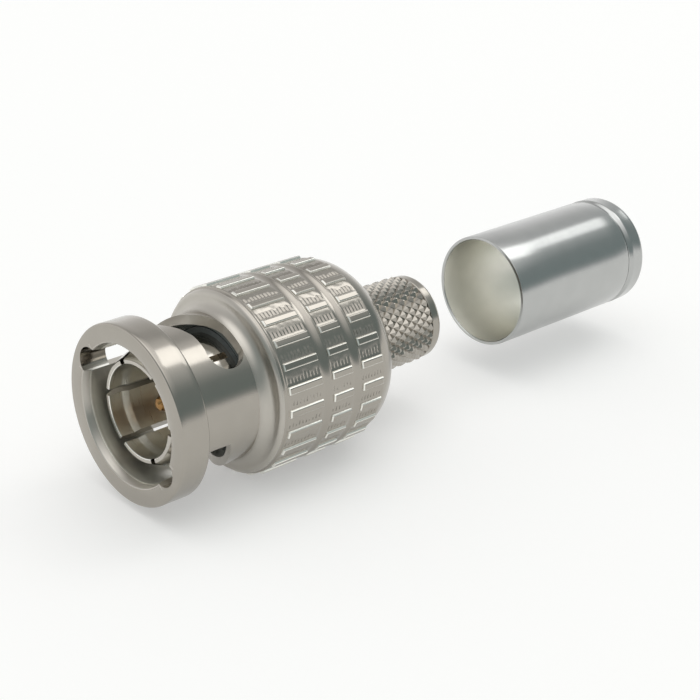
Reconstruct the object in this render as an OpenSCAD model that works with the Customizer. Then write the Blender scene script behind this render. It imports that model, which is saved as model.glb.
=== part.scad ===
// Bayonet coaxial plug for crimping onto a cable, with its loose crimp sleeve.
// Millimetres. The plug's axis is X: the mating face lies at x = 0 and the
// cable end points to +X. The pieces are turned along Z and laid over at the end.

/* [Coupling shell] */
// Radius of the jack bore
bore_r = 4.97; // [4.92:0.01:5.02]
// Radius of the front flange
flange_r = 6.51; // [6.4:0.01:6.8]
// Width of the front flange
flange_w = 2.2; // [2:0.1:2.4]
// Radius of the slotted neck
neck_r = 5.45; // [5.4:0.01:5.55]
// Radius over the grip ribs
rib_r = 7.05; // [7:0.01:7.15]
// Depth of the grip ribs
rib_h = 0.17; // [0.1:0.01:0.25]
// Number of grip ribs around each band
rib_count = 26; // [20:1:30]
// Width of one grip rib
rib_w = 0.58; // [0.4:0.02:0.8]
// Rear end of the domed back
shell_end = 19.9; // [19.7:0.05:19.95]

/* [Bayonet slots] */
// Width of the cam slots
slot_w = 2.7; // [2.4:0.1:2.8]
// Radius of the detent hole that ends each slot
detent_r = 1.42; // [1.35:0.01:1.45]
// Radius of the rounded entry notches
notch_r = 1.2; // [1.1:0.05:1.3]
// Turn of the first entry notch about the axis, from straight down
notch_turn = 121.7; // [110:0.1:140]

/* [Contacts] */
// Largest radius of the outer contact's fingers
finger_r = 4.1; // [4:0.01:4.12]
// Number of slots between the fingers
finger_slots = 6; // [4:1:6]
// Width of each finger slot
finger_slot_w = 0.5; // [0.3:0.05:0.6]
// Turn of the first finger slot about the axis, from straight down
finger_turn = 32.7; // [0:0.1:60]
// Front end of the fingers
finger_tip = 1.03; // [0.9:0.01:1.2]
// Radius of the centre pin
pin_r = 0.675; // [0.66:0.005:0.69]
// Front end of the centre pin
pin_tip = 2.6; // [2.4:0.1:2.8]

/* [Cable end] */
// Radius of the knurled crimp barrel
barrel_r = 3.4; // [3.3:0.05:3.5]
// Rear end of the crimp barrel
barrel_end = 27; // [26.8:0.1:27.4]
// Radius of the cable bore
cable_r = 2.6; // [2.4:0.05:2.7]
// Outer radius of the crimp sleeve
sleeve_r = 4.53; // [4.4:0.01:4.6]
// Wall of the crimp sleeve
sleeve_wall = 0.3; // [0.28:0.01:0.35]
// Length of the crimp sleeve
sleeve_len = 15.4; // [15:0.1:16]
// Where the open end of the crimp sleeve lies
sleeve_start = 35; // [34:0.5:38]

/* [Hidden] */
$fn = 96;
eps = 0.01;
fit = 0.06;                          // radial clearance of the running fits
rib_phase = 0.5;                     // straight down lies midway between two ribs, so it rests on both

// Stations along the axis
shoulder_z = 13.7;                   // inner shoulder that the thrust washer bears on
collar_z = 8;                        // front face of the outer contact's collar
collar_len = 1.6;
washer_t = 0.3;                      // thickness of the flat washers
wave_count = 4;
wave_t = 0.25;                       // thickness of a wave washer's strip
wave_gap = 0.02;                     // gap between neighbouring spring pieces
shank_r = 3.92;                      // shank that turns in the shell's rear hole
socket_end = 17.5;                   // rear end of the outer contact
insulator_r = 3.1;
insulator_z = 6.3;                   // face that the mating jack's insulator meets

// Grip bands: [start, end of the ribs], and the flat land where each band begins
bands = [[8.72, 11.72], [12.7, 14.52], [15.46, 17.42]];
land_r = rib_r - 0.08;
floor_r = rib_r - rib_h;
valley_r = rib_r - 0.25;
land_w = 0.18;
valley_w = 0.3;

// Cam slot: centre line as [turn past the notch, distance from the mating face]
cam = [[-7, 2.6], [48, 5.05], [61, 5.6], [76, 5.97], [95, 5.95]];
cam_steps = 12;
function cam_z(a) = lookup(a, cam);
function cam_at(i) = cam[0][0] + (cam[4][0] - cam[0][0]) * i / cam_steps;

// An arc from a0 to a1 in the (radius, distance) plane
function arc(c, r, a0, a1, n = 10) =
    [for (i = [0:n]) c + r * [cos(a0 + (a1 - a0) * i / n), sin(a0 + (a1 - a0) * i / n)]];

// Lays a piece that was turned along Z over onto X
module lay() { rotate([0, 90, 0]) children(); }

module ring(r_out, r_in, z, len) {
    translate([0, 0, z]) difference() {
        cylinder(r = r_out, h = len);
        translate([0, 0, -eps]) cylinder(r = r_in, h = len + 2 * eps);
    }
}

// ---- Coupling shell -------------------------------------------------------

// One grip band's floor with its rising land in front and the valley behind
function band_profile(b) = [
    [land_r - 0.02, b[0] - land_w], [land_r, b[0] - land_w / 2],
    [floor_r, b[0]], [floor_r, b[1]], [valley_r + 0.02, b[1] + valley_w],
    [valley_r, b[1] + 2 * valley_w]];

dome_r = 3;                          // radius of the rounded back
dome_lead = 0.42;                    // how far before the ribs' end that round is level
dome_z = bands[2][1] - dome_lead;
function dome(n = 16) =
    let (from = asin((bands[2][1] - dome_z) / dome_r), to = asin((shell_end - dome_z) / dome_r))
    [for (i = [0:n]) let (t = from + (to - from) * i / n)
        [floor_r + dome_r * (cos(t) - cos(from)), dome_z + dome_r * sin(t)]];

// The hollow between the neck and the grip, and the rounded front edge of the grip
cove_r = 0.9;
cove_z = 7.25;
nose_r = 0.52;
nose_z = cove_z + cove_r + nose_r;
nose_drop = 0.09;
nose_c = neck_r + cove_r - nose_drop;

mouth_r = 5.12;                      // front edge of the chamfer that leads into the bore
rear_hole_r = shank_r + fit;
groove_w = 0.7;
groove_z = collar_z - groove_w;      // groove that holds the snap ring
groove_r = bore_r + 0.42;

module shell_outside() {
    profile = concat(
        [[0, 0], [flange_r - 0.12, 0], [flange_r, 0.12], [flange_r, flange_w - 0.2],
         [flange_r - 0.2, flange_w], [neck_r, flange_w + 0.1]],
        arc([neck_r + cove_r, cove_z], cove_r, 180, 96, 8),
        arc([nose_c, nose_z], nose_r, 270, 350, 6),
        [for (b = [0:1], i = [b == 0 ? 2 : 0:5]) band_profile(bands[b])[i]],
        [for (i = [0:2]) band_profile(bands[2])[i]],
        dome(), [[0, shell_end]]);
    rotate_extrude() polygon(profile);
}

// The jack bore, the snap ring's groove and the rear hole as one solid to cut away
module shell_inside() {
    rotate_extrude() polygon([
        [0, -1], [mouth_r + 1, -1], [mouth_r, 0], [bore_r, 0.62],
        [bore_r, groove_z], [groove_r, groove_z], [groove_r, groove_z + groove_w],
        [bore_r, groove_z + groove_w], [bore_r, shoulder_z], [rear_hole_r, shoulder_z],
        [rear_hole_r, shell_end - 0.1], [rear_hole_r + 0.1, shell_end],
        [rear_hole_r + 0.1, shell_end + 1], [0, shell_end + 1]]);
}

// The ribs of one band: a toothed wheel that stands proud of the band's floor
module rib_band(b) {
    half = asin(rib_w / 2 / rib_r);
    root_r = floor_r - 0.06;
    translate([0, 0, b[0]]) linear_extrude(b[1] - b[0]) polygon(
        [for (i = [0:rib_count - 1], p = [[root_r, -half - 0.6], [rib_r, -half],
                [rib_r, half], [root_r, half + 0.6]])
            let (a = 360 / rib_count * (i + rib_phase) + p[1])
            p[0] * [cos(a), sin(a)]]);
}

// Cuts radially, from inside the bore out past the neck
cut_r0 = bore_r - 0.6;
cut_r1 = neck_r + 1.3;
function rise_at(a) = let (b = min(a + 4, cam[4][0]), c = max(a - 4, cam[0][0]))
    (cam_z(b) - cam_z(c)) / ((b - c) * PI / 180 * neck_r);
function half_at(a) = slot_w / 2 * sqrt(1 + pow(rise_at(a), 2));

// One short stretch of the helical slot, from turn a to turn b
module cam_stretch(a, b) {
    y = cut_r1 * tan((b - a) / 2);
    rotate((a + b) / 2) translate([cut_r0, 0, 0]) rotate([0, 90, 0])
        linear_extrude(cut_r1 - cut_r0) polygon([
            [half_at(a) - cam_z(a), -y], [half_at(b) - cam_z(b), y],
            [-half_at(b) - cam_z(b), y], [-half_at(a) - cam_z(a), -y]]);
}

module radial_hole(turn, z, r) {
    rotate(turn) translate([cut_r0, 0, z]) rotate([0, 90, 0])
        cylinder(r = r, h = cut_r1 - cut_r0);
}

// Everything cut for one bayonet lug: entry notch, slot and detent hole. Inside
// the flange the way is a groove that leaves the flange's rim whole.
module lug_way() {
    notch_c = 4.7;                   // radius at which the notch's centre line lies
    lug_r = notch_c + notch_r;
    translate([notch_c, 0, -1]) cylinder(r = notch_r, h = cam[0][1] + 1);
    intersection() {
        union() {
            radial_hole(cam[0][0], cam[0][1], slot_w / 2);
            for (i = [0:cam_steps - 1]) cam_stretch(cam_at(i), cam_at(i + 1));
            radial_hole(cam[4][0], cam[4][1], detent_r);
        }
        union() {
            cylinder(r = lug_r, h = 3);
            translate([0, 0, flange_w + 0.1]) cylinder(r = flange_r + 1, h = 8);
        }
    }
}

module coupling_shell() {
    color([0.72, 0.7, 0.66]) lay() difference() {
        union() {
            shell_outside();
            for (b = bands) rib_band(b);
        }
        shell_inside();
        for (i = [0:1]) rotate(notch_turn + 180 * i) lug_way();
    }
}

// ---- Spring and retaining pieces inside the shell -------------------------

// Split ring in the shell's groove, which the collar rests against
module snap_ring() {
    snap_gap = 0.03;                 // play on each side in the groove
    snap_in = 4.4;                   // inner radius of the ring
    split = 1.4;                     // width of the split
    color("gainsboro") lay() difference() {
        ring(groove_r - 0.08, snap_in, groove_z + snap_gap, groove_w - 2 * snap_gap);
        translate([0, -split / 2, groove_z - 1]) cube([8, split, 3]);
    }
}

washer_in = shank_r + fit;
washer_out = bore_r - fit;

// Flat washer between the springs and the collar
module collar_washer() {
    color("silver") lay() ring(washer_out, washer_in, collar_z + collar_len, washer_t);
}

// Flat washer between the springs and the shell's inner shoulder
module thrust_washer() {
    color("silver") lay() ring(washer_out, washer_in, shoulder_z - washer_t, washer_t);
}

// Spring washer number k: a flat strip ring bent into three waves
spring_z0 = collar_z + collar_len + washer_t;
spring_h = (shoulder_z - washer_t - spring_z0) / wave_count;
module wave_washer(k) {
    n = 48;
    mid = spring_z0 + spring_h * (k - 0.5);
    swing = (spring_h - wave_t - wave_gap) / 2;
    flip = k % 2 == 0 ? 1 : -1;
    pts = [for (i = [0:n - 1]) let (a = 360 * i / n, z = mid + flip * swing * cos(3 * a))
        each [for (r = [washer_in + 0.1, washer_out - 0.05], s = [-0.5, 0.5])
            [r * cos(a), r * sin(a), z + s * wave_t]]];
    color("lightsteelblue") lay() polyhedron(points = pts,
        faces = [for (i = [0:n - 1], f = [[0, 1], [1, 3], [3, 2], [2, 0]])
            let (j = (i + 1) % n)
            each [[4 * i + f[0], 4 * i + f[1], 4 * j + f[0]],
                  [4 * i + f[1], 4 * j + f[1], 4 * j + f[0]]]]);
}
module wave_washer_1() { wave_washer(1); }
module wave_washer_2() { wave_washer(2); }
module wave_washer_3() { wave_washer(3); }
module wave_washer_4() { wave_washer(4); }

// ---- Inner conductor parts ------------------------------------------------

// Turned body: spring fingers, collar and shank in one piece
mouth_in = 3.45;                     // radius inside the fingers' front ends
socket_in = 3.28;                    // radius of the socket behind them
step_z = 2.15;                       // where the cone between those two begins
step_len = 0.5;
root_z = finger_tip + 1.9;           // where the fingers' bulge has come down to the shank's radius
finger_root = 7;                     // how far back the slots between the fingers reach
module outer_contact() {
    profile = [
        [mouth_in - 0.07, finger_tip], [finger_r - 0.4, finger_tip], [finger_r, finger_tip + 0.9],
        [finger_r, finger_tip + 1.2], [shank_r, root_z], [shank_r, collar_z],
        [bore_r - fit, collar_z], [bore_r - fit, collar_z + collar_len],
        [shank_r, collar_z + collar_len], [shank_r, socket_end],
        [insulator_r, socket_end], [insulator_r, insulator_z], [socket_in, insulator_z],
        [socket_in, step_z + step_len], [mouth_in, step_z]];
    color([0.82, 0.81, 0.78]) lay() difference() {
        rotate_extrude() polygon(profile);
        for (i = [0:finger_slots - 1]) rotate(finger_turn + 360 / finger_slots * i)
            translate([2.5, -finger_slot_w / 2, 0]) cube([2.5, finger_slot_w, finger_root]);
    }
}

// Soft ring around the root of the fingers that seals against the jack
module face_gasket() {
    gasket_len = 0.7;
    gasket_t = 0.42;
    color("dimgray") lay() ring(shank_r + gasket_t, shank_r, collar_z - gasket_len, gasket_len);
}

// Front insulator with the hole that the pin's shaft stands in
front_len = 5.2;
shaft_r = 1;                         // shaft of the pin inside the insulators
module front_insulator() {
    color([0.62, 0.48, 0.33]) lay() ring(insulator_r, shaft_r, insulator_z, front_len);
}

pin_collar_len = 1.2;
pin_collar_r = 1.5;
rear_z = insulator_z + front_len + pin_collar_len;
rear_len = 2.6;
cup_r = 0.95;                        // outer radius of the cup for the cable's core
module rear_insulator() {
    color([0.62, 0.48, 0.33]) lay() ring(insulator_r, cup_r, rear_z, rear_len);
}

// Gold pin with its locating collar and the crimp cup behind it
core_r = 0.52;                       // radius of the hole for the cable's core
core_len = 4;
cup_end = 19;
module centre_contact() {
    collar_front = insulator_z + front_len;
    profile = [
        [0, pin_tip], [0.2, pin_tip + 0.02], [0.42, pin_tip + 0.16], [pin_r, pin_tip + 0.75],
        [pin_r, insulator_z], [shaft_r, insulator_z], [shaft_r, collar_front],
        [pin_collar_r, collar_front], [pin_collar_r, rear_z], [cup_r, rear_z],
        [cup_r, cup_end], [core_r, cup_end], [core_r, cup_end - core_len],
        [0, cup_end - core_len - 0.3]];
    color("gold") lay() rotate_extrude() polygon(profile);
}

// Rear body: pressed into the outer contact, with the barrel the braid is crimped on
module crimp_barrel() {
    lip = 0.25;
    cup_room_r = 2;                  // room around the pin's cup
    stop_z = cup_end + 0.2;          // shoulder that the cable's dielectric stops on
    profile = [
        [cup_room_r, rear_z + rear_len], [insulator_r, rear_z + rear_len],
        [insulator_r, socket_end], [shank_r, socket_end], [shank_r, shell_end - 0.15],
        [shank_r - 0.1, shell_end - 0.05], [barrel_r, shell_end - 0.05],
        [barrel_r, barrel_end - 0.75], [barrel_r - 0.14, barrel_end - 0.68],
        [barrel_r - 0.1, barrel_end - lip], [barrel_r - 0.35, barrel_end],
        [cable_r + 0.15, barrel_end], [cable_r, barrel_end - 0.15],
        [cable_r, stop_z], [cup_room_r, stop_z]];
    color([0.76, 0.74, 0.7]) lay() rotate_extrude() polygon(profile);
}

// ---- Loose crimp sleeve ---------------------------------------------------

// Thin drawn tube with a shallow rolled groove near its rear end
module crimp_sleeve() {
    g = sleeve_start + sleeve_len * 0.885;
    end = sleeve_start + sleeve_len;
    in_r = sleeve_r - sleeve_wall;
    profile = [
        [in_r + 0.06, sleeve_start], [sleeve_r - 0.08, sleeve_start],
        [sleeve_r, sleeve_start + 0.1], [sleeve_r, g - 0.35], [sleeve_r - 0.13, g - 0.15],
        [sleeve_r - 0.13, g + 0.1], [sleeve_r + 0.02, g + 0.28], [sleeve_r, end - 0.35],
        [sleeve_r - 0.1, end - 0.1], [sleeve_r - 0.2, end], [in_r, end],
        [in_r, sleeve_start + 0.1]];
    color([0.8, 0.81, 0.8]) lay() rotate_extrude() polygon(profile);
}

coupling_shell();
snap_ring();
thrust_washer();
wave_washer_1();
wave_washer_2();
wave_washer_3();
wave_washer_4();
collar_washer();
outer_contact();
face_gasket();
front_insulator();
rear_insulator();
centre_contact();
crimp_barrel();
crimp_sleeve();
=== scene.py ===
"""Dresses a bayonet coaxial plug and its loose crimp sleeve: turned nickel plate, ribs and
knurling, the spring fingers, the gold pin, the stage and the camera."""
import math

import bpy
from bpy.props import FloatProperty, FloatVectorProperty, IntProperty, PointerProperty
from mathutils import Euler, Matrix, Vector


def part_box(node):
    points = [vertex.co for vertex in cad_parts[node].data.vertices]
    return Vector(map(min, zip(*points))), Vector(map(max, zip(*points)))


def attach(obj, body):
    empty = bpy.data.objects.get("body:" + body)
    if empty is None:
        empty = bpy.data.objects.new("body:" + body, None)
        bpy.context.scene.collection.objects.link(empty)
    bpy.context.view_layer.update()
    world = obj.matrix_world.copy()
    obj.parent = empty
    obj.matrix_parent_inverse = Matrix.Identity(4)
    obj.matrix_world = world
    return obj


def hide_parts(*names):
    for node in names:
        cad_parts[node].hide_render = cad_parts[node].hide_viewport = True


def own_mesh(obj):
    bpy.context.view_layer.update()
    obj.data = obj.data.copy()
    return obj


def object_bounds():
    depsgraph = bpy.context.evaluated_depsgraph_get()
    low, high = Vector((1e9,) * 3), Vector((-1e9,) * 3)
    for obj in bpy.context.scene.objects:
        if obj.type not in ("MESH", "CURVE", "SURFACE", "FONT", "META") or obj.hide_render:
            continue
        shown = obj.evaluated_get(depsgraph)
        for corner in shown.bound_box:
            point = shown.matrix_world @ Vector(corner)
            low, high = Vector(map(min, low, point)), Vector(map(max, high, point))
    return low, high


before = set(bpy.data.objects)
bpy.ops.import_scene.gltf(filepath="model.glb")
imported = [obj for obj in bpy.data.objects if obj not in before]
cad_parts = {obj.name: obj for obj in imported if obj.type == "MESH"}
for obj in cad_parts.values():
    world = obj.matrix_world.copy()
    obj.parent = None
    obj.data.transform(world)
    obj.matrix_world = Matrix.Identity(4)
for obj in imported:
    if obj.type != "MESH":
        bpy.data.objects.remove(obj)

bl_info = {
    "name": "Bayonet Coaxial Plug",
    "version": (1, 0, 0),
    "blender": (4, 5, 0),
    "location": "View3D > Sidebar > Coaxial Plug",
    "description": "Dresses a bayonet coaxial plug with its grip, knurl, fingers and crimp sleeve",
    "category": "Object",
}

MM = 0.001
AXIS = (1.0, 0.0, 0.0)
CAD_LOW, CAD_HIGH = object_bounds()

# The plug lies rolled by this much about its axis, so that it rests on two ribs
ROLL = math.radians(-2.3)

# Distances behind the mating face and radii, all in millimetres.
# The grip's three bands of ribs, as (start, end)
BANDS = ((8.72, 11.72), (12.7, 14.52), (15.46, 17.42))
# Where the neck starts to rise to the grip
COVE = 7.25
# The cam slot's centre line, as (degrees past the entry notch, distance)
CAM = ((-14.0, 3.55), (14.0, 4.18), (48.0, 5.12), (61.0, 5.6), (76.0, 5.97), (95.0, 5.95))
# The cam slot stops just short of the snap ring's groove, which runs from front to back
SLOT_END = 7.28
RING_GROOVE = (7.33, 8.0)
# The bore narrows to this lip in front of the snap ring
LIP_R = 4.7
# Radius of the hole in the shell's back, that turns on the plug's body
SHANK_R = 3.98
# Radius of the arc that rounds the back
DOME_R = 3.0
# The cam slots are cut from a sheet rolled up at this radius
SHEET_R = 5

# Columns of faces in the pitch from one rib to the next
RIB_STEPS = 12
# Where the first rib stands, in pitches round from straight down
RIB_PHASE = 0.5
# How far the ribs' tops lie off centre, round the plug and along it
RIB_LEAN = 0.015 * MM
RIB_SHIFT = 0.03 * MM
# The ribs' flanks, as steps of (inset in millimetres, share of the ribs' height)
RIB_FLANKS = ((0.015, 0.5), (0.025, 0.28), (0.03, 0.14), (0.03, 0.08))
# Distance between two rows of the fine grooves between ribs, and their depth from column to
# column, as shares of the full depth
ROW_PITCH = 0.145
GROOVE_DEPTHS = (0.2, 0.5, 0.75, 0.9, 1.0, 1.0, 1.0)

# The studio's grey by height on its two sides, as (height, grey, how much cooler than grey)
NEAR_SKY = ((0.0, 0.5, 0), (1.0, 1.0, 0), (0.1, 0.21, 0.1), (0.2, 0.155, 0.2), (0.5, 0.175, 0.15),
            (0.6, 0.25, 0.08), (0.73, 0.42, 0.03), (0.85, 0.65, 0))
FAR_SKY = ((0.0, 0.6, 0), (1.0, 1.0, 0), (0.3, 0.5, 0), (0.6, 0.42, 0), (0.7, 0.36, 0),
           (0.77, 0.28, 0), (0.87, 0.6, 0))
SKY_STRENGTH = 1.8
# How much the floor glows where it is seen, but not where it lights
FLOOR_GLOW = 0.34
# The lamps, as (name, place, target, size, power)
LAMPS = (("key", (0.723, -0.125, 0.958), (0.012, 0, 0), (0.46, 0.34), 0.75),
         ("strip", (0.94, -0.016, 0.795), (0.04, 0, 0), (0.35, 0.14), 0.2))
# The camera's place and direction before the plug's roll, and its lens
EYE = (-0.0548548, -0.0819491, 0.0461361)
LOOK = (0.62361, 0.67748, -0.39005)
LENS = 82.29


def box_mm(node):
    """The lowest and highest corner of a CAD node, in millimetres."""
    low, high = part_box(node)
    return Vector(low) / MM, Vector(high) / MM


def length(name, description, default):
    """A length property, given in millimetres."""
    return FloatProperty(
        name=name, description=description, default=default * MM, min=0.0,
        unit="LENGTH", subtype="DISTANCE", precision=5)


def colour(name, description, default):
    """A colour property."""
    return FloatVectorProperty(
        name=name, description=description, default=default, size=3,
        min=0.0, max=1.0, subtype="COLOR")


def amount(name, description, default):
    """A plain number that scales a strength."""
    return FloatProperty(
        name=name, description=description, default=default, min=0.0, max=100.0)


# ---- Settings ----------------------------------------------------------------

class ShellSettings(bpy.types.PropertyGroup):
    """Sizes of the coupling shell"""
    flange_r: length("Flange radius", "Radius of the front flange", 6.51)
    flange_w: length("Flange width", "Width of the front flange", 2.2)
    neck_r: length("Neck radius", "Radius of the slotted neck", 5.45)
    bore_r: length("Bore radius", "Radius of the bore that the jack enters", 4.97)
    mouth_r: length("Mouth radius", "Radius at the front edge of the mouth's chamfer", 5.12)
    rib_r: length("Rib radius", "Radius over the grip ribs", 7.05)
    rib_h: length("Rib height", "Height of the grip ribs", 0.17)
    ribs: IntProperty(
        name="Ribs", description="Ribs around each band", default=26, min=12, max=40)
    ridge_h: length("Ridge depth", "Depth of the fine ridges between the ribs", 0.055)
    slot_w: length("Slot width", "Width of the cam slots", 2.7)
    detent_r: length("Detent radius", "Radius of the hole that ends each cam slot", 1.42)
    notch_r: length("Notch radius", "Radius of the rounded entry notches", 1.2)
    notch_turn: FloatProperty(
        name="Notch turn", description="Turn of the first notch, from straight down",
        default=math.radians(121.7), subtype="ANGLE")


class ContactSettings(bpy.types.PropertyGroup):
    """Sizes of the outer contact"""
    finger_r: length("Finger radius", "Largest radius of the spring fingers", 4.1)
    slot_w: length("Slot width", "Width of the slots between the fingers", 0.5)
    first_slot: FloatProperty(
        name="First slot", description="Turn of the first finger slot, from straight down",
        default=math.radians(32.7), subtype="ANGLE")
    fingers: IntProperty(
        name="Fingers", description="Number of spring fingers", default=6, min=4, max=8)


class CableEndSettings(bpy.types.PropertyGroup):
    """Sizes of the crimp barrel and the crimp sleeve"""
    barrel_r: length("Barrel radius", "Radius over the knurled crimp barrel", 3.4)
    knurl_h: length("Knurl depth", "Depth of the diamond knurl", 0.24)
    knurls: IntProperty(
        name="Diamonds", description="Diamonds around the barrel", default=30, min=16, max=48)
    sleeve_r: length("Sleeve radius", "Outer radius of the crimp sleeve", 4.53)
    sleeve_wall: length("Sleeve wall", "Wall of the crimp sleeve", 0.3)


class FinishSettings(bpy.types.PropertyGroup):
    """Colours of the plating and the mouldings, with painted light in the inside, gold and
    insulator colours
    """
    nickel: colour("Nickel", "Satin nickel plate on the shell", (0.39, 0.365, 0.325))
    bright: colour("Bright nickel", "Bright nickel plate on the contact", (0.50, 0.475, 0.43))
    tin: colour("Tin", "Tin plate on the crimp sleeve", (0.48, 0.485, 0.475))
    # Painted light: this pale colour is far lighter than the plating. It lightens the bores to
    # stand in for light in their shade, and the ribs' flanks as painted highlight lines
    inside: colour("Inside", "Bores of the sleeve, the shell and the contact", (0.9, 0.89, 0.83))
    # Painted shade: this gold is much darker than gold plate, so that the pin looks dim in its
    # shaded hole
    gold: colour("Gold", "Gold plate on the centre pin", (0.32, 0.18, 0.07))
    # Partly the moulding's own brown, partly painted light: the colour is made paler to stand in
    # for light in the shaded hole round the pin
    insulator: colour("Insulator", "Moulded insulator", (0.55, 0.46, 0.34))
    steel: colour("Spring steel", "Springs and washers", (0.30, 0.30, 0.30))
    rubber: colour("Rubber", "Face gasket", (0.075, 0.088, 0.088))
    blackened: colour("Blackened steel", "Snap ring in the shell's groove", (0.09, 0.105, 0.105))


class StageSettings(bpy.types.PropertyGroup):
    """Floor and lights"""
    floor: colour("Floor", "Colour of the floor", (0.69, 0.685, 0.67))
    key: amount("Key light", "Strength of the long light above the plug", 1.0)
    fill: amount("Fill light", "Strength of the light around the plug", 1.0)


# ---- Modelling helpers ---------------------------------------------------------

def deselect():
    """Leaves edit mode and selects nothing."""
    if bpy.context.object and bpy.context.object.mode != "OBJECT":
        bpy.ops.object.mode_set(mode="OBJECT")
    bpy.ops.object.select_all(action="DESELECT")


def edit(piece, kind="FACE"):
    """Opens a piece in edit mode with nothing in it selected."""
    deselect()
    bpy.context.view_layer.objects.active = piece
    piece.select_set(True)
    bpy.ops.object.mode_set(mode="EDIT")
    bpy.ops.mesh.select_mode(type=kind)
    bpy.ops.mesh.select_all(action="DESELECT")


def pick(piece, kind, test):
    """Opens a piece in edit mode with the vertices, edges or faces that pass a test selected."""
    edit(piece, kind)
    bpy.ops.object.mode_set(mode="OBJECT")
    mesh = piece.data
    parts = {"VERT": mesh.vertices, "EDGE": mesh.edges, "FACE": mesh.polygons}[kind]
    for part in parts:
        part.select = test(part)
    bpy.ops.object.mode_set(mode="EDIT")


def close(piece):
    """Merges doubled vertices, drops loose ones and turns the faces outwards."""
    edit(piece)
    bpy.ops.mesh.select_all(action="SELECT")
    bpy.ops.mesh.remove_doubles(threshold=0.0005 * MM)
    bpy.ops.mesh.delete_loose()
    bpy.ops.mesh.select_all(action="SELECT")
    bpy.ops.mesh.normals_make_consistent(inside=False)
    bpy.ops.object.mode_set(mode="OBJECT")


def revolve(name, outline, steps):
    """Turns a closed outline of (distance, radius) points, in millimetres, about the axis."""
    deselect()
    bpy.ops.mesh.primitive_circle_add(vertices=len(outline), radius=MM)
    piece = bpy.context.object
    piece.name = piece.data.name = name
    for corner, (distance, radius) in zip(piece.data.vertices, outline):
        corner.co = (distance * MM, 0.0, radius * MM)
    edit(piece)
    bpy.ops.mesh.select_all(action="SELECT")
    bpy.ops.mesh.spin(steps=steps, angle=math.tau, center=(0, 0, 0), axis=AXIS)
    close(piece)
    return piece


def arc(centre, radius, start, end, steps):
    """Points of an arc in the (distance, radius) plane; angles in degrees from the axis."""
    angles = [math.radians(start + (end - start) * i / steps) for i in range(steps + 1)]
    return [(centre[0] + radius * math.cos(angle), centre[1] + radius * math.sin(angle))
            for angle in angles]


def turn_of(point):
    """Turn of a point about the axis from straight down, in radians."""
    return math.atan2(point.y, -point.z)


def radius_of(point):
    """Distance of a point from the axis, in metres."""
    return math.hypot(point.y, point.z)


def cut(piece, cutter):
    """Cuts the cutter out of the piece and deletes the cutter."""
    deselect()
    bpy.context.view_layer.objects.active = piece
    boolean = piece.modifiers.new("Cut", "BOOLEAN")
    boolean.operation = "DIFFERENCE"
    boolean.solver = "EXACT"
    boolean.object = cutter
    bpy.ops.object.modifier_apply(modifier=boolean.name)
    bpy.data.objects.remove(cutter)


def smooth(piece, angle=32):
    """Shades a piece smooth, apart from edges sharper than an angle in degrees."""
    deselect()
    piece.select_set(True)
    bpy.context.view_layer.objects.active = piece
    bpy.ops.object.shade_smooth_by_angle(angle=math.radians(angle))


def dress(piece, material, body, slot, *nodes):
    """Gives a finished piece its material and its body, and hides the CAD nodes it stands for; the
    slot is not used.
    """
    piece.data.materials.clear()
    piece.data.materials.append(material)
    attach(piece, body)
    if nodes:
        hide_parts(*nodes)


def coat(piece, material, test):
    """Gives the faces whose middle passes a test a further material."""
    piece.data.materials.append(material)
    for face in piece.data.polygons:
        if test(face.center):
            face.material_index = len(piece.data.materials) - 1


# ---- Materials -----------------------------------------------------------------

def shader(name, base, metallic, roughness):
    """A principled material and its nodes."""
    material = bpy.data.materials.new(name)
    material.use_nodes = True
    nodes, links = material.node_tree.nodes, material.node_tree.links
    surface = nodes["Principled BSDF"]
    surface.inputs["Base Color"].default_value = (*base, 1.0)
    surface.inputs["Metallic"].default_value = metallic
    surface.inputs["Roughness"].default_value = roughness
    return material, nodes, links, surface


def noise(nodes, links, scale, stretch=(1, 1, 1), detail=3.0):
    """Noise on Object coordinates, stretched by a mapping; scale counts per metre."""
    place = nodes.new("ShaderNodeTexCoord")
    mapping = nodes.new("ShaderNodeMapping")
    mapping.inputs["Scale"].default_value = stretch
    texture = nodes.new("ShaderNodeTexNoise")
    texture.inputs["Scale"].default_value = scale
    texture.inputs["Detail"].default_value = detail
    links.new(place.outputs["Object"], mapping.inputs["Vector"])
    links.new(mapping.outputs["Vector"], texture.inputs["Vector"])
    return texture.outputs["Fac"]


def blend_colours(nodes, links, factor, dark, light):
    """Blends two colours by a noise."""
    ramp = nodes.new("ShaderNodeValToRGB")
    ramp.color_ramp.elements[0].position = 0.3
    ramp.color_ramp.elements[1].position = 0.7
    ramp.color_ramp.elements[0].color = (*dark, 1.0)
    ramp.color_ramp.elements[1].color = (*light, 1.0)
    links.new(factor, ramp.inputs["Fac"])
    return ramp.outputs["Color"]


def spread(nodes, links, factor, low, high):
    """Maps a noise to a range of values."""
    limits = nodes.new("ShaderNodeMapRange")
    limits.inputs["From Min"].default_value = 0.3
    limits.inputs["From Max"].default_value = 0.7
    limits.inputs["To Min"].default_value = low
    limits.inputs["To Max"].default_value = high
    links.new(factor, limits.inputs["Value"])
    return limits.outputs["Result"]


def bump(nodes, links, height, surface, strength, distance):
    """Bumps the surface by a height, given in metres."""
    relief = nodes.new("ShaderNodeBump")
    relief.inputs["Strength"].default_value = strength
    relief.inputs["Distance"].default_value = distance
    links.new(height, relief.inputs["Height"])
    links.new(relief.outputs["Normal"], surface.inputs["Normal"])


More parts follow.
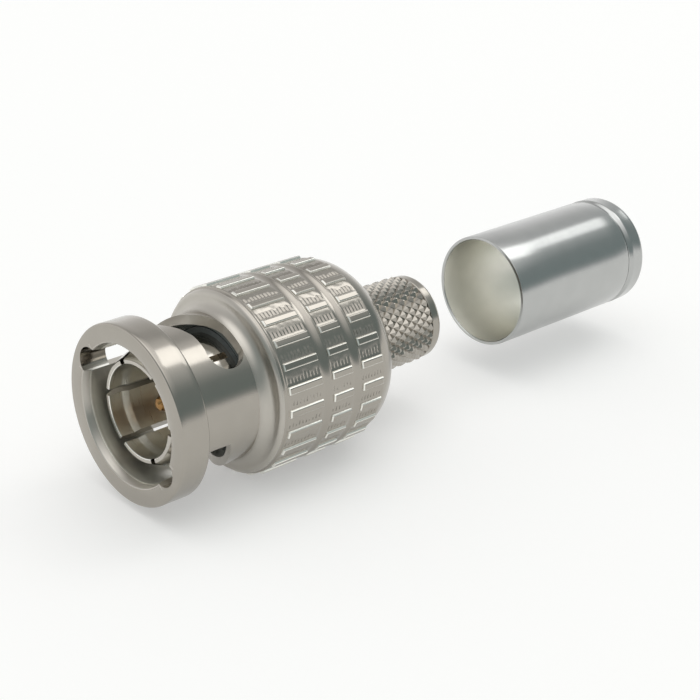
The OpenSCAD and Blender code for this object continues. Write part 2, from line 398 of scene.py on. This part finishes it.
def turned_metal(name, base, rough, lines=0.03):
    """Plated metal with fine turning lines around the axis and faint mottling."""
    material, nodes, links, surface = shader(name, base, 1.0, rough)
    mottle = noise(nodes, links, 700.0)
    shade = [channel * 0.96 for channel in base]
    links.new(blend_colours(nodes, links, mottle, shade, base), surface.inputs["Base Color"])
    lathe_lines = noise(nodes, links, 1000.0, stretch=(14.0, 0.35, 0.35), detail=4.0)
    roughness = spread(nodes, links, lathe_lines, rough * 0.9, rough * 1.1)
    links.new(roughness, surface.inputs["Roughness"])
    bump(nodes, links, lathe_lines, surface, lines, 0.02 * MM)
    return material


def plain_material(name, base, rough, grain=0.05):
    """Plastic or rubber with a faint grain."""
    material, nodes, links, surface = shader(name, base, 0.0, rough)
    grain_noise = noise(nodes, links, 2500.0)
    shade = [channel * 0.8 for channel in base]
    links.new(blend_colours(nodes, links, grain_noise, shade, base), surface.inputs["Base Color"])
    bump(nodes, links, grain_noise, surface, grain, 0.05 * MM)
    return material


# ---- Coupling shell --------------------------------------------------------------

def in_bands(point, slack=0.0):
    """Whether a point lies within one of the grip's bands."""
    return any(a * MM - slack < point.x < b * MM + slack for a, b in BANDS)


def rows_between(start, end):
    """Number of rows of faces along a band, always even."""
    return 2 * round((end - start) / ROW_PITCH / 2)


def grip_outline(shell):
    """The outside of the grip: a rounded land before each band but the first, then its floor."""
    rib_r, floor_r = shell.rib_r / MM, (shell.rib_r - shell.rib_h) / MM
    land_r = rib_r - 0.09
    points = []
    for start, end in BANDS:
        if start > BANDS[0][0]:
            points += [(start - 0.42, floor_r - 0.01), (start - 0.3, land_r - 0.03),
                       (start - 0.22, land_r), (start - 0.15, land_r - 0.01)]
        points += [(start - 0.1, floor_r - 0.03), (start - 0.04, floor_r - 0.03)]
        rows = rows_between(start, end)
        points += [(start + (end - start) * i / rows, floor_r) for i in range(rows + 1)]
        if end < BANDS[2][1]:
            points += [(end + 0.12, floor_r - 0.03), (end + 0.3, floor_r - 0.04)]
    return points


def dome_outline(start, end, radius, steps=22):
    """The rounded back: an arc from the last band's floor to the flat ring around the barrel."""
    level = start - 0.42
    first, last = math.asin((start - level) / DOME_R), math.asin((end - level) / DOME_R)
    turns = [first + (last - first) * i / steps for i in range(1, steps + 1)]
    return [(level + DOME_R * math.sin(turn),
             radius + DOME_R * (math.cos(turn) - math.cos(first))) for turn in turns]


def shell_outline(shell):
    """The shell's closed outline, from the flange's rim round the back and up the bore."""
    flange_r, flange_w = shell.flange_r / MM, shell.flange_w / MM
    neck_r, bore_r, mouth_r = shell.neck_r / MM, shell.bore_r / MM, shell.mouth_r / MM
    rear = box_mm("coupling_shell")[1].x
    # Flange, neck, and the cove and bead that lead up to the grip
    front = arc((0.14, flange_r - 0.14), 0.14, 180, 90, 4)
    front += [(0.5, flange_r), (1.1, flange_r), (1.7, flange_r)]
    front += arc((flange_w - 0.16, flange_r - 0.16), 0.16, 90, 0, 4)
    front += [(flange_w, neck_r + 0.5)]
    front += arc((flange_w + 0.12, neck_r + 0.12), 0.12, 180, 270, 3)
    front += [(2.8, neck_r), (3.4, neck_r), (4.0, neck_r), (4.6, neck_r), (5.2, neck_r)]
    front += [(5.8, neck_r), (6.4, neck_r), (6.9, neck_r)]
    front += arc((COVE, neck_r + 0.9), 0.9, -90, -6, 14)
    front += arc((COVE + 1.42, neck_r + 0.81), 0.52, 180, 100, 9)
    grip = grip_outline(shell)
    dome = dome_outline(BANDS[2][1], rear, (shell.rib_r - shell.rib_h) / MM)
    # The back's ring, the springs' room, the snap ring's groove, the lip and the bore
    groove_start, groove_end = RING_GROOVE
    back = [(rear, SHANK_R + 0.5), (rear, SHANK_R + 0.1), (rear - 0.02, SHANK_R + 0.04),
            (rear - 0.1, SHANK_R), (17.0, SHANK_R), (13.7, SHANK_R),
            (13.7, bore_r), (10.0, bore_r), (groove_end, bore_r), (groove_end, bore_r + 0.42),
            (groove_start, bore_r + 0.42), (groove_start, LIP_R), (6.7, LIP_R), (6.2, 4.77),
            (5.7, 4.9), (5.5, bore_r), (3.4, bore_r)]
    # Turning marks just inside the mouth
    grooves = []
    for i in range(12):
        at = 3.2 - i * 0.2
        grooves += [(at, bore_r), (at - 0.1, bore_r + 0.018)]
    mouth = [(0.72, bore_r), (0.62, bore_r), (0.56, bore_r + 0.02), (0.06, mouth_r),
             (0.02, mouth_r + 0.03), (0.0, mouth_r + 0.08), (0.0, mouth_r + 0.5)]
    return front + grip + dome + back + grooves + mouth


def cam_height(turn):
    """Distance of the cam slot's centre behind the face, at a turn past the notch in degrees."""
    for (a, low), (b, high) in zip(CAM, CAM[1:]):
        if turn <= b:
            return low + (high - low) * (turn - a) / (b - a)
    return CAM[-1][1]


def slot_outline(shell):
    """The slot's outline, unrolled: (turn past the notch in degrees, distance in millimetres)."""
    half, detent = shell.slot_w / MM / 2, shell.detent_r / MM
    per_mm = math.degrees(1 / (shell.neck_r / MM))
    first, last = CAM[0][0], CAM[-1][0]
    # The entry notch takes up this many degrees on each side of its middle
    notch = -first
    turns = [first + (last - notch - first) * i / 16 for i in range(17)]

    def side(turn, way):
        """A point of the slot's front (way -1) or rear (way 1) edge."""
        climb = cam_height(min(turn + 4, last)) - cam_height(max(turn - 4, first))
        return turn, cam_height(turn) + way * half * math.hypot(1, climb / (8 / per_mm))

    rear = [side(turn, 1) for turn in turns]
    front = [side(turn, -1) for turn in reversed(turns) if turn > notch]
    angles = [math.radians(angle) for angle in range(84, -116, -12)]
    tip = [(last + per_mm * detent * math.cos(angle), CAM[-1][1] + detent * math.sin(angle))
           for angle in angles]
    start = [(notch, shell.flange_w / MM - 0.1), (first, shell.flange_w / MM - 0.1)]
    return [(turn, min(distance, SLOT_END)) for turn, distance in rear + tip + front + start]


def wrapped_cutter(shell, turn, inner, outer):
    """A solid with the slot's outline, wrapped round the axis between two radii, in millimetres."""
    outline = slot_outline(shell)
    deselect()
    bpy.ops.mesh.primitive_circle_add(vertices=len(outline), radius=MM, fill_type="NGON")
    cutter = bpy.context.object
    for corner, (angle, distance) in zip(cutter.data.vertices, outline):
        corner.co = (distance * MM, math.radians(angle) * SHEET_R * MM, 0.0)
    edit(cutter)
    for angle in range(-12, 112, 4):
        bpy.ops.mesh.select_all(action="SELECT")
        bpy.ops.mesh.bisect(
            plane_co=(0, math.radians(angle) * SHEET_R * MM, 0), plane_no=(0, 1, 0))
    bpy.ops.object.mode_set(mode="OBJECT")
    for corner in cutter.data.vertices:
        angle = turn + corner.co.y / (SHEET_R * MM)
        corner.co = (corner.co.x, inner * MM * math.sin(angle), -inner * MM * math.cos(angle))
    edit(cutter)
    bpy.ops.mesh.select_all(action="SELECT")
    bpy.ops.mesh.extrude_region_move()
    grow = outer / inner
    bpy.ops.object.mode_set(mode="OBJECT")
    for corner in cutter.data.vertices:
        if corner.select:
            corner.co = (corner.co.x, corner.co.y * grow, corner.co.z * grow)
    close(cutter)
    return cutter


def cut_lug_way(piece, shell, turn):
    """Cuts one entry notch through the flange, and the cam slot behind it."""
    # Radii of the round notch's centre and of the slot cutter's inner face
    centre, inner = 4.7, 4.3
    reach = CAM[0][1]
    deselect()
    bpy.ops.mesh.primitive_cylinder_add(
        vertices=48, radius=shell.notch_r, depth=(reach + 1) * MM,
        location=((reach - 1) / 2 * MM, centre * MM * math.sin(turn),
                  -centre * MM * math.cos(turn)),
        rotation=(0, math.pi / 2, 0))
    cut(piece, bpy.context.object)
    cut(piece, wrapped_cutter(shell, turn, inner, centre + shell.notch_r / MM))


def raise_ribs(piece, shell):
    """Raises the ribs from the floor of each band, and presses fine ridges in between."""
    floor_r = shell.rib_r - shell.rib_h
    pitch = math.tau / shell.ribs

    def along(point):
        """How far round from the middle of a rib a point lies, in pitches from -0.5 to 0.5."""
        return (turn_of(point) / pitch - RIB_PHASE + 0.5) % 1 - 0.5

    def on_rib(face):
        """Whether a face of a band's floor lies under a rib."""
        return (radius_of(face.center) > floor_r * 0.995 and in_bands(face.center, 1e-7)
                and abs(along(face.center)) < 2 / RIB_STEPS)

    def in_groove(point):
        """Whether a point of a band's floor lies in a row that is pressed in."""
        for start, end in BANDS:
            rows = rows_between(start, end)
            row = (point.x / MM - start) / (end - start) * rows
            if 0.5 < row < rows - 0.5 and abs(row - round(row)) < 0.01 and round(row) % 2 == 1:
                return abs(radius_of(point) - floor_r) < 0.002 * MM
        return False

    pick(piece, "FACE", on_rib)
    for inset, share in RIB_FLANKS:
        bpy.ops.mesh.inset(
            thickness=inset * MM, depth=share * shell.rib_h, use_even_offset=True)
    bpy.ops.object.mode_set(mode="OBJECT")
    # The ribs' tops lie off centre, so that one flank of each is steep and the other slopes
    pick(piece, "VERT", lambda corner: radius_of(corner.co) > shell.rib_r - 0.06 * MM
         and in_bands(corner.co))
    bpy.ops.transform.rotate(
        value=-RIB_LEAN / shell.rib_r, orient_axis="X", center_override=(0, 0, 0))
    bpy.ops.transform.translate(value=(RIB_SHIFT, 0, 0))
    bpy.ops.object.mode_set(mode="OBJECT")
    for column, share in enumerate(GROOVE_DEPTHS, 3):
        pick(piece, "VERT", lambda corner: in_groove(corner.co)
             and abs((along(corner.co) % 1) * RIB_STEPS - column) < 0.3)
        k = 1 - shell.ridge_h * share / floor_r
        bpy.ops.transform.resize(value=(1, k, k))
        bpy.ops.transform.vertex_random(offset=0.012 * MM, uniform=1, seed=column)
        bpy.ops.object.mode_set(mode="OBJECT")


class PLUG_OT_coupling_shell(bpy.types.Operator):
    """Models the coupling shell: flange, slotted neck, ribbed grip and domed back"""
    bl_idname = "plug.coupling_shell"
    bl_label = "Coupling Shell"

    def execute(self, context):
        shell, finish = context.scene.plug_shell, context.scene.plug_finish
        piece = revolve("shell", shell_outline(shell), RIB_STEPS * shell.ribs)
        for half_turn in (0, math.pi):
            cut_lug_way(piece, shell, shell.notch_turn + half_turn)
        raise_ribs(piece, shell)
        smooth(piece)
        dress(piece, turned_metal("satin nickel", finish.nickel, 0.15),
              "coupling", "shell_nickel", "coupling_shell")
        coat(piece, turned_metal("cut nickel", finish.bright, 0.34, lines=0.02),
             lambda middle: middle.x < (BANDS[0][0] - 0.3) * MM
             and (radius_of(middle) < shell.neck_r - 0.06 * MM or middle.x > COVE * MM))
        # The ribs' flanks take the pale inside colour and a higher roughness. The roughness is
        # real; the pale colour is a painted highlight that draws a bright line along each flank
        coat(piece, turned_metal("painted highlight rib flanks", finish.inside, 0.3),
             lambda middle: in_bands(middle)
             and 0.012 * MM < shell.rib_r - radius_of(middle) < shell.rib_h - 0.012 * MM)
        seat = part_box("thrust_washer")[1][0]
        # The bore in front of the washer seat is rougher, as bored, and painted pale: painted light
        # that stands in for light in the shaded bore
        coat(piece, turned_metal("bored nickel with painted light", finish.inside, 0.34, lines=0.03),
             lambda middle: middle.x < seat and radius_of(middle) < shell.bore_r + 0.03 * MM)
        return {"FINISHED"}


# ---- Contacts --------------------------------------------------------------------

class PLUG_OT_outer_contact(bpy.types.Operator):
    """Models the outer contact with its slotted spring fingers"""
    bl_idname = "plug.outer_contact"
    bl_label = "Outer Contact"

    def execute(self, context):
        contact, finish = context.scene.plug_contact, context.scene.plug_finish
        low, high = box_mm("outer_contact")
        tip, end, finger_r = low.x, high.x, contact.finger_r / MM
        tube_r, bore_r, collar_r = 3.92, 3.28, 4.91
        # The fingers' tips, the tube with its collar, then back along the bore
        outline = [(tip + 0.04, 3.38), (tip, 3.43), (tip, finger_r - 0.44),
                   (tip + 0.05, finger_r - 0.38), (tip + 0.9, finger_r - 0.01),
                   (tip + 1.05, finger_r), (tip + 1.2, finger_r - 0.01)]
        outline += [(tip + 1.9, 3.93), (tip + 2.3, tube_r), (8.0, tube_r), (8.0, 4.86),
                    (8.05, collar_r), (9.55, collar_r), (9.6, 4.86), (9.6, tube_r), (end, tube_r)]
        outline += [(end, 3.1), (6.3, 3.1), (6.3, bore_r), (4.4, bore_r), (2.7, bore_r),
                    (2.64, 3.285), (2.18, 3.44), (2.12, 3.45), (1.9, 3.44)]
        piece = revolve("spring_contact", outline, 120)
        # Each saw cuts two slots, across from each other and 7 mm deep
        for i in range(contact.fingers // 2):
            turn = contact.first_slot + math.tau / contact.fingers * i
            deselect()
            bpy.ops.mesh.primitive_cube_add(
                size=1, location=(3.4 * MM, 0, 0), rotation=(turn, 0, 0))
            saw = bpy.context.object
            saw.scale = (7.2 * MM, contact.slot_w, 9.4 * MM)
            saw.select_set(True)
            bpy.ops.object.transform_apply(location=True, rotation=True, scale=True)
            cut(piece, saw)
        smooth(piece, 28)
        dress(piece, turned_metal("bright nickel", finish.bright, 0.14),
              "plug_body", "contact_nickel", "outer_contact")
        # The contact's bore is rougher and painted pale: painted light that stands in for light in
        # its shade
        coat(piece, turned_metal("bored contact with painted light", finish.inside, 0.3),
             lambda middle: radius_of(middle) < 3.5 * MM)
        return {"FINISHED"}


class PLUG_OT_inner_pieces(bpy.types.Operator):
    """Finishes the pin, the insulators, the gasket, the snap ring and the flat washers"""
    bl_idname = "plug.inner_pieces"
    bl_label = "Inner Pieces"

    def execute(self, context):
        finish = context.scene.plug_finish
        gold = turned_metal("gold plate", finish.gold, 0.18)
        insulator = plain_material("moulded insulator", finish.insulator, 0.35)
        rubber = plain_material("silicone rubber", finish.rubber, 0.5)
        steel = turned_metal("spring steel", finish.steel, 0.3)
        blackened = plain_material("blackened steel", finish.blackened, 0.45)
        for name, material in (
                ("centre_contact", gold), ("front_insulator", insulator),
                ("rear_insulator", insulator), ("face_gasket", rubber), ("snap_ring", blackened),
                ("thrust_washer", steel), ("collar_washer", steel)):
            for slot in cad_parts[name].material_slots:
                slot.material = material
        return {"FINISHED"}


class PLUG_OT_wave_springs(bpy.types.Operator):
    """Models the wave washers as smooth-shaded copies of the CAD meshes; the real washers flatten
    as the shell is drawn forward
    """
    bl_idname = "plug.wave_springs"
    bl_label = "Wave Springs"

    def execute(self, context):
        steel = turned_metal("wave spring steel", context.scene.plug_finish.steel, 0.3)
        for i in range(1, 5):
            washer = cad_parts[f"wave_washer_{i}"]
            piece = bpy.data.objects.new(f"wave_spring_{i}", washer.data.copy())
            context.scene.collection.objects.link(piece)
            close(piece)
            smooth(piece, 40)
            dress(piece, steel, "plug_body", "spring_steel", f"wave_washer_{i}")
            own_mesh(piece)
        return {"FINISHED"}


# ---- Cable end -------------------------------------------------------------------

class PLUG_OT_crimp_barrel(bpy.types.Operator):
    """Models the crimp barrel with its diamond knurl and smooth lip"""
    bl_idname = "plug.crimp_barrel"
    bl_label = "Crimp Barrel"

    def execute(self, context):
        cable, finish = context.scene.plug_cable_end, context.scene.plug_finish
        low, high = box_mm("crimp_barrel")
        end, radius, depth = high.x, cable.barrel_r / MM, cable.knurl_h / MM
        knurl_start, half_row, rows = 20.3, 0.482, 12
        knurl_end = knurl_start + rows * half_row
        spigot_r, shoulder_r, bore_r, feed_r = 3.1, 3.92, 2.6, 2.0
        root_r, lip_r = radius - depth, radius - 0.12
        # The spigot and shoulder, the knurl's peaks, the smooth lip, then back along the bore
        outline = [(low.x, spigot_r), (17.5, spigot_r), (17.5, shoulder_r), (19.75, shoulder_r),
                   (19.8, 3.86), (19.8, root_r), (knurl_start - 0.05, root_r)]
        outline += [(knurl_start + i * half_row, radius) for i in range(rows + 1)]
        outline += [(knurl_end + 0.1, root_r), (knurl_end + 0.14, radius - 0.16),
                    (knurl_end + 0.2, lip_r), (end - 0.2, lip_r), (end - 0.06, radius - 0.18),
                    (end, radius - 0.3), (end, 2.78), (end - 0.04, 2.7), (end - 0.15, bore_r),
                    (19.2, bore_r), (19.2, feed_r), (low.x, feed_r)]
        piece = revolve("knurled_barrel", outline, 2 * cable.knurls)

        def on_knurl(corner, odd):
            """Whether a vertex is on the knurl, on an odd or an even square of its grid."""
            distance, turn = corner.co.x / MM, turn_of(corner.co)
            column = round(turn / math.tau * 2 * cable.knurls)
            row = round((distance - knurl_start) / half_row)
            return (knurl_start - 0.01 < distance < knurl_end + 0.01
                    and abs(radius_of(corner.co) - cable.barrel_r) < 0.01 * MM
                    and (column + row) % 2 == odd)

        # Every other vertex is pressed in, and the peaks that are left are blunted
        pick(piece, "VERT", lambda corner: on_knurl(corner, 1))
        k = 1 - depth / radius
        bpy.ops.transform.resize(value=(1, k, k))
        bpy.ops.object.mode_set(mode="OBJECT")
        pick(piece, "FACE", lambda face: radius_of(face.center) > cable.barrel_r * 0.9
             and knurl_start - 0.2 < face.center.x / MM < knurl_end + 0.01)
        bpy.ops.mesh.quads_convert_to_tris(quad_method="SHORTEST_DIAGONAL")
        bpy.ops.object.mode_set(mode="OBJECT")
        pick(piece, "VERT", lambda corner: on_knurl(corner, 0))
        bpy.ops.mesh.bevel(offset=0.07 * MM, affect="VERTICES", segments=1)
        bpy.ops.object.mode_set(mode="OBJECT")
        smooth(piece, 14)
        dress(piece, turned_metal("knurled nickel", finish.nickel, 0.14, lines=0.04),
              "plug_body", "barrel_nickel", "crimp_barrel")
        # The barrel's bore is rougher and painted pale: painted light that stands in for light in
        # its shade
        coat(piece, turned_metal("bored barrel with painted light", finish.inside, 0.35),
             lambda middle: radius_of(middle) < (bore_r + 0.05) * MM)
        return {"FINISHED"}


class PLUG_OT_crimp_sleeve(bpy.types.Operator):
    """Models the thin drawn crimp sleeve with the ring rolled near its rear end"""
    bl_idname = "plug.crimp_sleeve"
    bl_label = "Crimp Sleeve"

    def execute(self, context):
        cable, finish = context.scene.plug_cable_end, context.scene.plug_finish
        low, high = box_mm("crimp_sleeve")
        start, end, radius = low.x, high.x, cable.sleeve_r / MM
        bore = radius - cable.sleeve_wall / MM
        ring = start + (end - start) * 0.885
        # The plain tube, the rolled ring's hollow and swell, the rounded end, then the bore
        outline = [(start, bore + 0.06), (start, radius - 0.08), (start + 0.03, radius - 0.02),
                   (start + 0.12, radius), (start + 4, radius), (ring - 2, radius)]
        outline += [(ring + along, radius + rise) for along, rise in (
            (-0.42, 0), (-0.32, -0.02), (-0.18, -0.1), (-0.08, -0.13), (0.02, -0.13),
            (0.12, -0.08), (0.22, 0), (0.3, 0.02), (0.42, 0.02), (0.55, 0))]
        outline += [(end - 0.5, radius - 0.01)] + arc((end - 0.35, radius - 0.36), 0.35, 90, 12, 6)
        outline += [(end, bore + 0.02), (end - 0.05, bore), (ring, bore), (start + 6, bore),
                    (start + 0.1, bore)]
        piece = revolve("sleeve", outline, 144)
        smooth(piece)
        dress(piece, turned_metal("tin plate", finish.tin, 0.19, lines=0.05),
              "sleeve", "sleeve_tin", "crimp_sleeve")
        # The sleeve's bore is rougher and painted pale: painted light that stands in for light
        # inside the tube
        coat(piece, turned_metal("tin inside with painted light", finish.inside, 0.38),
             lambda middle: radius_of(middle) < (bore + 0.02) * MM)
        return {"FINISHED"}


# ---- Stage -------------------------------------------------------------------------

def aim(thing, target):
    """Turns a lamp or a camera to face a point."""
    thing.rotation_euler = (Vector(target) - thing.location).to_track_quat("-Z", "Y").to_euler()


def lamp(name, place, target, size, power):
    """Adds a rectangular lamp; place, target and size in metres, power in watts."""
    data = bpy.data.lights.new(name, "AREA")
    data.shape = "RECTANGLE"
    data.size, data.size_y = size
    data.energy = power
    light = bpy.data.objects.new(name, data)
    bpy.context.scene.collection.objects.link(light)
    light.location = place
    aim(light, target)


def seen_rays(nodes, links):
    """1 for camera, glossy and transmission rays, 0 for the rays that light the object."""
    path = nodes.new("ShaderNodeLightPath")
    total = path.outputs["Is Camera Ray"]
    for ray in ("Is Glossy Ray", "Is Transmission Ray"):
        higher = nodes.new("ShaderNodeMath")
        higher.operation = "MAXIMUM"
        links.new(total, higher.inputs[0])
        links.new(path.outputs[ray], higher.inputs[1])
        total = higher.outputs[0]
    return total


def sky(nodes, links, height, stops):
    """A ramp of grey from the horizon to straight overhead."""
    ramp = nodes.new("ShaderNodeValToRGB")
    elements = ramp.color_ramp.elements
    for i, (at, grey, cool) in enumerate(stops):
        element = elements[i] if i < 2 else elements.new(at)
        element.position = at
        element.color = (grey, grey * (1 + cool), grey * (1 + cool), 1)
    links.new(height, ramp.inputs["Fac"])
    return ramp.outputs["Color"]


class PLUG_OT_stage(bpy.types.Operator):
    """Adds the floor, the soft light and the camera"""
    bl_idname = "plug.stage"
    bl_label = "Stage"

    def execute(self, context):
        stage = context.scene.plug_stage
        self.floor(stage)
        self.world(context.scene, stage)
        for name, place, target, size, power in LAMPS:
            lamp(name, place, target, size, power * stage.key)
        self.camera(context.scene)
        context.scene.view_settings.view_transform = "Standard"
        return {"FINISHED"}

    def floor(self, stage):
        """A pale floor just under the plug, with a glow that is seen but lights nothing."""
        deselect()
        height = CAD_LOW.z - 0.02 * MM
        bpy.ops.mesh.primitive_plane_add(size=3, location=(0, 0, height))
        floor = bpy.context.object
        floor.name = "floor"
        material, nodes, links, surface = shader("pale floor", stage.floor, 0.0, 0.8)
        surface.inputs["Specular IOR Level"].default_value = 0.1
        glow = nodes.new("ShaderNodeEmission")
        both = nodes.new("ShaderNodeAddShader")
        direct = nodes.new("ShaderNodeMath")
        direct.operation = "MULTIPLY"
        direct.inputs[1].default_value = FLOOR_GLOW
        links.new(seen_rays(nodes, links), direct.inputs[0])
        links.new(direct.outputs[0], glow.inputs["Strength"])
        links.new(surface.outputs["BSDF"], both.inputs[0])
        links.new(glow.outputs[0], both.inputs[1])
        links.new(both.outputs[0], nodes["Material Output"].inputs["Surface"])
        floor.data.materials.append(material)

    def world(self, scene, stage):
        """A studio that blends from a near to a far side, and a white ground for the camera."""
        world = bpy.data.worlds.new("studio")
        scene.world = world
        world.use_nodes = True
        nodes, links = world.node_tree.nodes, world.node_tree.links
        direction = nodes.new("ShaderNodeTexCoord")
        split = nodes.new("ShaderNodeSeparateXYZ")
        links.new(direction.outputs["Generated"], split.inputs[0])
        near = sky(nodes, links, split.outputs["Z"], NEAR_SKY)
        far = sky(nodes, links, split.outputs["Z"], FAR_SKY)
        side = nodes.new("ShaderNodeMapRange")
        side.inputs["From Min"].default_value = -0.1
        side.inputs["From Max"].default_value = 0.6
        links.new(split.outputs["Y"], side.inputs["Value"])
        studio = nodes.new("ShaderNodeMix")
        studio.data_type = "RGBA"
        links.new(side.outputs[0], studio.inputs[0])
        links.new(near, studio.inputs[6])
        links.new(far, studio.inputs[7])
        lighting = nodes["Background"]
        lighting.inputs["Strength"].default_value = SKY_STRENGTH * stage.fill
        links.new(studio.outputs[2], lighting.inputs["Color"])
        white = nodes.new("ShaderNodeBackground")
        white.inputs["Color"].default_value = (1, 1, 1, 1)
        mix = nodes.new("ShaderNodeMixShader")
        path = nodes.new("ShaderNodeLightPath")
        links.new(path.outputs["Is Camera Ray"], mix.inputs["Fac"])
        links.new(lighting.outputs[0], mix.inputs[1])
        links.new(white.outputs[0], mix.inputs[2])
        links.new(mix.outputs[0], nodes["World Output"].inputs["Surface"])

    def camera(self, scene):
        """A camera placed for the plug lying level, then rolled with it."""
        data = bpy.data.cameras.new("camera")
        data.lens, data.sensor_width = LENS, 36
        data.clip_start, data.clip_end = 0.005, 10
        camera = bpy.data.objects.new("camera", data)
        scene.collection.objects.link(camera)
        camera.location = EYE
        aim(camera, camera.location + Vector(LOOK))
        roll = Euler((ROLL, 0, 0))
        camera.location.rotate(roll)
        camera.rotation_euler.rotate(roll)
        scene.camera = camera


# ---- Panel, registration and run -----------------------------------------------------

PIECES = (PLUG_OT_coupling_shell, PLUG_OT_outer_contact, PLUG_OT_inner_pieces,
          PLUG_OT_wave_springs, PLUG_OT_crimp_barrel, PLUG_OT_crimp_sleeve, PLUG_OT_stage)
SETTINGS = ((ShellSettings, "plug_shell", "Coupling shell"),
            (ContactSettings, "plug_contact", "Contact"),
            (CableEndSettings, "plug_cable_end", "Cable end"),
            (FinishSettings, "plug_finish", "Finish"),
            (StageSettings, "plug_stage", "Stage"))


class PLUG_PT_panel(bpy.types.Panel):
    """Lists the settings and the steps that dress the plug"""
    bl_idname = "PLUG_PT_panel"
    bl_label = "Coaxial Plug"
    bl_space_type = "VIEW_3D"
    bl_region_type = "UI"
    bl_category = "Coaxial Plug"

    def draw(self, context):
        for operator in PIECES:
            self.layout.operator(operator.bl_idname)
        for _, name, _ in SETTINGS:
            group = getattr(context.scene, name)
            box = self.layout.box()
            for setting in group.bl_rna.properties:
                if setting.identifier not in ("rna_type", "name"):
                    box.prop(group, setting.identifier)


CLASSES = tuple(group for group, _, _ in SETTINGS) + PIECES + (PLUG_PT_panel,)


def register():
    """Registers the add-on and adds its settings to the scene."""
    for cls in CLASSES:
        bpy.utils.register_class(cls)
    for group, name, label in SETTINGS:
        setattr(bpy.types.Scene, name, PointerProperty(type=group, name=label))


def unregister():
    """Removes the settings and the add-on."""
    for _, name, _ in SETTINGS:
        delattr(bpy.types.Scene, name)
    for cls in reversed(CLASSES):
        bpy.utils.unregister_class(cls)


def main():
    """Runs every step."""
    register()
    for operator in PIECES:
        group, name = operator.bl_idname.split(".")
        getattr(getattr(bpy.ops, group), name)()


if __name__ == "__main__":
    main()
